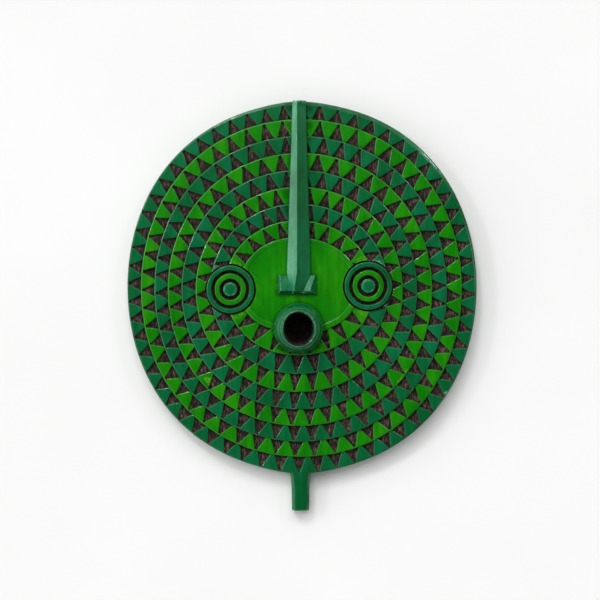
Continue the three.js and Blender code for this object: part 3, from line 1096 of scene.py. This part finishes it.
def gloss_paint(name, thin, full, thick, worn):
    """Brushed gloss paint: deeper where thick, with worn edges that also carry a painted
    highlight, and painted shade in its creases.
    """
    material, nodes, links = new_material(name)
    shader = nodes["Principled BSDF"]
    patches = add_noise(nodes, links, 38, 4, (1, 0.4, 1))
    streaks = add_noise(nodes, links, 260, 5, (1, 0.16, 1))
    colour = add_ramp(nodes, links, patches, [(0.34, thin), (0.5, full), (0.66, thick)])
    streak_tone = add_ramp(nodes, links, streaks, [
        (0.3, grey(0.8)),
        (0.52, grey(1.0)),
        (0.72, grey(1.12)),
    ])
    colour = mix_colours(nodes, links, 1.0, colour, streak_tone, "MULTIPLY")
    bend = add_bend(nodes)
    scuffs = add_noise(nodes, links, 420, 6)
    # Convex edges take the lighter worn colour: partly paint worn off the edges, partly a painted
    # highlight along them.
    edge = add_ramp(nodes, links, bend, [(0.53, grey(0)), (0.57, grey(1))])
    patchy = add_ramp(nodes, links, scuffs, [(0.42, grey(0.1)), (0.6, grey(1))])
    wear_and_glint = mix_colours(nodes, links, 1.0, edge, patchy, "MULTIPLY")
    colour = mix_colours(nodes, links, wear_and_glint, colour, worn)
    # Painted shade: the paint is darkened in creases and corners, where shade falls.
    crease_shade = add_ramp(nodes, links, bend, [(0.42, grey(0.25)), (0.49, grey(1.0))])
    colour = mix_colours(nodes, links, 1.0, colour, crease_shade, "MULTIPLY")
    links.new(colour, shader.inputs["Base Color"])
    shine = add_ramp(nodes, links, scuffs, [(0.3, grey(0.17)), (0.7, grey(0.27))])
    links.new(shine, shader.inputs["Roughness"])
    shader.inputs["Specular IOR Level"].default_value = 0.35
    shader.inputs["Coat Weight"].default_value = 0.5
    shader.inputs["Coat Roughness"].default_value = 0.07
    wood = add_noise(nodes, links, 130, 3, (1, 0.2, 1))
    normal = add_bump(nodes, links, [(wood, 0.3), (streaks, 0.15), (scuffs, 0.05)], 0.0005)
    links.new(normal, shader.inputs["Normal"])
    return material


def burnt_wood(name, tones):
    """Charred, gouged wood with lighter fibres, and painted shade in its corners and creases."""
    material, nodes, links = new_material(name)
    shader = nodes["Principled BSDF"]
    fibres = add_noise(nodes, links, 760, 6, (1, 0.22, 1), 0.72)
    chips = add_noise(nodes, links, 230, 6, (1, 0.7, 1), 0.65)
    colour = add_ramp(nodes, links, fibres, tones)
    char = add_ramp(nodes, links, chips, [(0.38, grey(0.2)), (0.62, grey(1.2))])
    colour = mix_colours(nodes, links, 1.0, colour, char, "MULTIPLY")
    # Painted shade: the wood is darkened in corners and creases, where shade falls.
    corner_shade = add_ramp(nodes, links, add_bend(nodes), [(0.42, grey(0.15)), (0.495, grey(1.0))])
    colour = mix_colours(nodes, links, 1.0, colour, corner_shade, "MULTIPLY")
    links.new(colour, shader.inputs["Base Color"])
    rough = add_ramp(nodes, links, chips, [(0.3, grey(0.62)), (0.7, grey(0.85))])
    links.new(rough, shader.inputs["Roughness"])
    normal = add_bump(nodes, links, [(chips, 1.0), (fibres, 0.9)], 0.0016)
    links.new(normal, shader.inputs["Normal"])
    return material


def back_wood(name):
    """The bare back: brown wood with long grain, tool marks and darker handled places."""
    material, nodes, links = new_material(name)
    shader = nodes["Principled BSDF"]
    grain = add_noise(nodes, links, 210, 6, (1, 0.035, 1))
    fine = add_noise(nodes, links, 900, 5, (1, 0.06, 1))
    stain = add_noise(nodes, links, 14, 4)
    colour = add_ramp(nodes, links, grain, [
        (0.3, (0.055, 0.026, 0.012)),
        (0.5, (0.13, 0.066, 0.03)),
        (0.7, (0.2, 0.11, 0.052)),
    ])
    tone = add_ramp(nodes, links, stain, [(0.35, grey(0.5)), (0.65, grey(1.1))])
    colour = mix_colours(nodes, links, 1.0, colour, tone, "MULTIPLY")
    fine_tone = add_ramp(nodes, links, fine, [(0.35, grey(0.8)), (0.65, grey(1.1))])
    colour = mix_colours(nodes, links, 1.0, colour, fine_tone, "MULTIPLY")
    links.new(colour, shader.inputs["Base Color"])
    shader.inputs["Roughness"].default_value = 0.68
    normal = add_bump(nodes, links, [(grain, 0.6), (fine, 0.5)], 0.0008)
    links.new(normal, shader.inputs["Normal"])
    return material


def pale_floor(name):
    material, nodes, links = new_material(name)
    shader = nodes["Principled BSDF"]
    cloud = add_noise(nodes, links, 3, 3)
    colour = add_ramp(nodes, links, cloud, [(0.3, (0.86, 0.86, 0.855)), (0.7, (0.9, 0.9, 0.895))])
    links.new(colour, shader.inputs["Base Color"])
    shader.inputs["Roughness"].default_value = 0.9
    return material


def make_materials():
    """All the materials of the mask, in the order of the paints."""
    # The last colour of each paint is for its worn edges: partly worn paint, partly a painted
    # highlight.
    dark = gloss_paint(
        "dark_green_gloss",
        (0.0015, 0.14, 0.046),
        (0.001, 0.113, 0.03),
        (0.0008, 0.09, 0.021),
        (0.14, 0.45, 0.28),
    )
    # A paler copy of the dark green: painted light on the faces turned towards the light.
    lit_facet = gloss_paint(
        "lit_facet_green_gloss",
        (0.09, 0.38, 0.2),
        (0.02, 0.23, 0.095),
        (0.003, 0.13, 0.045),
        (0.3, 0.6, 0.42),
    )
    light = gloss_paint(
        "light_green_gloss",
        (0.016, 0.245, 0.0006),
        (0.006, 0.205, 0.0005),
        (0.003, 0.165, 0.0005),
        (0.1, 0.38, 0.008),
    )
    burnt = burnt_wood("burnt_wood", [
        (0.42, (0.0025, 0.0015, 0.001)),
        (0.5, (0.034, 0.021, 0.0145)),
        (0.58, (0.2, 0.118, 0.088)),
    ])
    hole = burnt_wood("hole_wood", [
        (0.3, (0.03, 0.02, 0.017)),
        (0.5, (0.1, 0.065, 0.053)),
        (0.7, (0.2, 0.13, 0.11)),
    ])
    return [dark, light, burnt, back_wood("back_wood"), hole, lit_facet]


# Staging
def add_floor():
    mesh = bpy.data.meshes.new("floor")
    half = FLOOR_HALF
    corners = [(-half, -half, 0), (half, -half, 0), (half, half, 0), (-half, half, 0)]
    mesh.from_pydata(corners, [], [(0, 1, 2, 3)])
    mesh.materials.append(pale_floor("pale_floor"))
    floor = bpy.data.objects.new("floor", mesh)
    bpy.context.scene.collection.objects.link(floor)


def add_camera():
    """A camera that looks straight down on the mask."""
    data = bpy.data.cameras.new("camera")
    data.sensor_width = SENSOR_WIDTH
    height = CAMERA_HEIGHT - RIM_THICKNESS * MM
    data.lens = SENSOR_WIDTH * height / FRAME_WIDTH
    data.clip_end = 50
    camera = bpy.data.objects.new("camera", data)
    camera.location = (*PICTURE_MIDDLE, CAMERA_HEIGHT)
    bpy.context.scene.collection.objects.link(camera)
    bpy.context.scene.camera = camera


def add_area_light(name, place, size, power):
    data = bpy.data.lights.new(name, "AREA")
    data.shape = "RECTANGLE"
    data.size, data.size_y = size
    data.energy = power
    light = bpy.data.objects.new(name, data)
    light.location = place
    light.rotation_euler = (-Vector(place)).to_track_quat("-Z", "Y").to_euler()
    bpy.context.scene.collection.objects.link(light)


def add_sun(name, turn, elevation, strength, spread, glossy):
    """Even light from one side, as from a distant window: it dims nowhere across the floor."""
    data = bpy.data.lights.new(name, "SUN")
    data.energy = strength
    data.angle = math.radians(spread)
    light = bpy.data.objects.new(name, data)
    light.visible_glossy = glossy
    height = math.radians(elevation)
    towards = polar(math.cos(height), math.radians(turn), math.sin(height))
    light.rotation_euler = towards.to_track_quat("Z", "Y").to_euler()
    bpy.context.scene.collection.objects.link(light)


def add_room():
    """Soft light of a pale room with windows on one side, and a dim ceiling over the camera."""
    world = bpy.data.worlds.new("studio")
    world.use_nodes = True
    nodes = world.node_tree.nodes
    links = world.node_tree.links
    where = nodes.new("ShaderNodeTexCoord")
    split = nodes.new("ShaderNodeSeparateXYZ")
    links.new(where.outputs["Generated"], split.inputs["Vector"])
    rise = add_ramp(nodes, links, split.outputs["Z"], [
        (0.0, grey(ROOM_FOOT)),
        (0.2, grey(ROOM_FOOT)),
        (0.42, grey(ROOM_GLOW)),
        (0.68, grey(ROOM_GLOW)),
        (0.86, grey(ROOM_CEILING)),
    ])
    side = nodes.new("ShaderNodeVectorMath")
    side.operation = "DOT_PRODUCT"
    side.inputs[1].default_value = BRIGHT_SIDE
    links.new(where.outputs["Generated"], side.inputs[0])
    middle = nodes.new("ShaderNodeMath")
    middle.operation = "ADD"
    middle.inputs[1].default_value = 0.5
    links.new(side.outputs["Value"], middle.inputs[0])
    turn = add_ramp(nodes, links, middle.outputs["Value"], [
        (0.25, grey(ROOM_FAR)),
        (0.85, grey(ROOM_NEAR)),
    ])
    glow = mix_colours(nodes, links, 1.0, rise, turn, "MULTIPLY")
    links.new(glow, nodes["Background"].inputs["Color"])
    bpy.context.scene.world = world


def add_light():
    add_room()
    for name, sun in SUNS.items():
        add_sun(name, *sun)
    add_area_light("window", WINDOW_PLACE, WINDOW_SIZE, WINDOW_POWER)
    bpy.context.scene.view_settings.view_transform = "Standard"


MATERIALS = make_materials()
mask = mask_piece()
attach(mask, "root")
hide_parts("sun_mask")
add_floor()
add_camera()
add_light()
